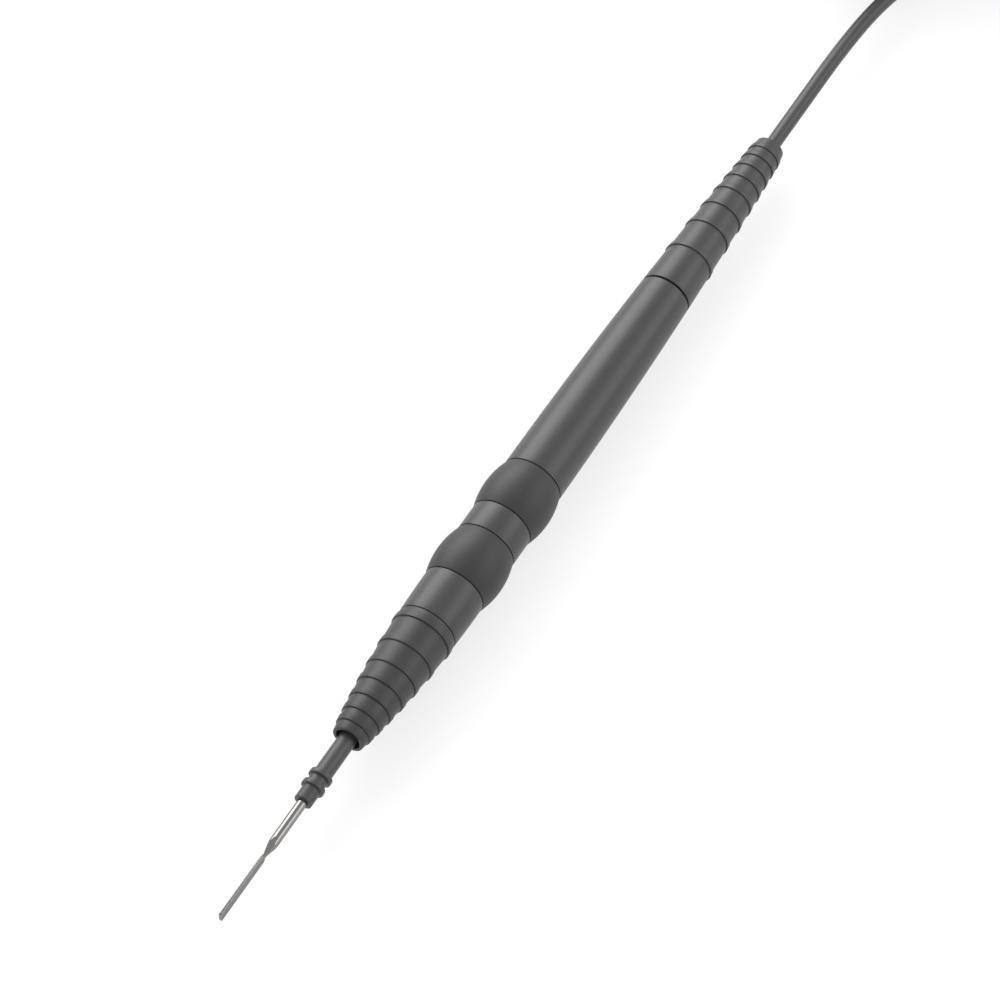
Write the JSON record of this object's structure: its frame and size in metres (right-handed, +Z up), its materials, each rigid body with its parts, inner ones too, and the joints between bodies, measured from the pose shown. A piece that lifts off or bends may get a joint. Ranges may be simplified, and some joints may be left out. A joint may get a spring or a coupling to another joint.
{
  "type": "electrosurgical pencil",
  "caption": "Slim handpiece with a push-in blade electrode, ring buttons pressed from any side, ribbed boots and a coiled cord ending in a flat plug with round pins.",
  "frame": {"origin": "halfway along the handpiece with its electrode, on the surface that it lies on, below its axis", "axes": "+X from the blade's tip towards the cord, +Z up; the blade stands upright in the XZ plane"},
  "size_m": [0.3775, 0.0599, 0.0342],
  "materials": {
    "shell_plastic": "fine satin texture",
    "ring_plastic": "matte",
    "boot_rubber": "moulded, matte",
    "sleeve_plastic": "satin",
    "blade_steel": "polished",
    "cord_jacket": "satin",
    "plug_plastic": "fine satin texture",
    "pin_metal": "nickel-plated",
    "contact_brass": "turned",
    "inner_plastic": "as moulded",
    "silicone": "translucent grey, matte",
    "flex_film": "amber film with copper tracks",
    "board_laminate": "solder resist",
    "active_insulation": "smooth",
    "common_insulation": "smooth",
    "cut_insulation": "smooth",
    "coag_insulation": "smooth"
  },
  "bodies": {
    "handpiece": {"nose_boot": "boot_rubber", "core_tube": "inner_plastic", "front_housing": "shell_plastic", "middle_collar": "shell_plastic", "rear_housing": "shell_plastic", "strain_relief": "boot_rubber", "nose_seal": "silicone", "collet_carrier": "inner_plastic", "contact_washer": "contact_brass", "contact_stud": "contact_brass", "front_dome_band": "silicone", "rear_dome_band": "silicone", "core_nut": "inner_plastic", "contact_flex": "flex_film", "circuit_board": "board_laminate", "active_wire": "active_insulation", "common_wire": "common_insulation", "cut_wire": "cut_insulation", "coag_wire": "coag_insulation", "cord_clamp": "contact_brass", "cord_in_boot": "cord_jacket", "power_cord": "cord_jacket", "cord_coil": "cord_jacket", "plug_lead": "cord_jacket", "plug_boot": "boot_rubber", "plug_base": "plug_plastic", "plug_cover": "plug_plastic", "active_pin": "pin_metal", "cut_pin": "pin_metal", "coag_pin": "pin_metal"},
    "front_guide": {"front_guide_disc": "inner_plastic"},
    "front_ring": {"front_ring_button": "ring_plastic", "front_press_sleeve": "inner_plastic"},
    "rear_guide": {"rear_guide_disc": "inner_plastic"},
    "rear_ring": {"rear_ring_button": "ring_plastic", "rear_press_sleeve": "inner_plastic"},
    "collet": {"contact_collet": "contact_brass"},
    "electrode": {"blade_electrode": "blade_steel", "electrode_sleeve": "sleeve_plastic"}
  },
  "joints": [
    {"name": "front_ring_side", "type": "slide", "parent": "handpiece", "child": "front_guide", "axis": [0, 1, 0], "range_m": [-0.0004, 0.0004], "stiffness_N_per_m": 6000},
    {"name": "front_ring_press", "type": "slide", "parent": "front_guide", "child": "front_ring", "axis": [0, 0, 1], "range_m": [-0.0004, 0.0004], "stiffness_N_per_m": 6000},
    {"name": "rear_ring_side", "type": "slide", "parent": "handpiece", "child": "rear_guide", "axis": [0, 1, 0], "range_m": [-0.0004, 0.0004], "stiffness_N_per_m": 6000},
    {"name": "rear_ring_press", "type": "slide", "parent": "rear_guide", "child": "rear_ring", "axis": [0, 0, 1], "range_m": [-0.0004, 0.0004], "stiffness_N_per_m": 6000},
    {"name": "blade_turn", "type": "hinge", "parent": "handpiece", "child": "collet", "pos_m": [-0.0582, 0, 0.00856], "axis": [1, 0, 0], "continuous": true},
    {"name": "blade_pull", "type": "slide", "parent": "collet", "child": "electrode", "axis": [-1, 0, 0], "range_m": [0, 0.0185]}
  ]
}
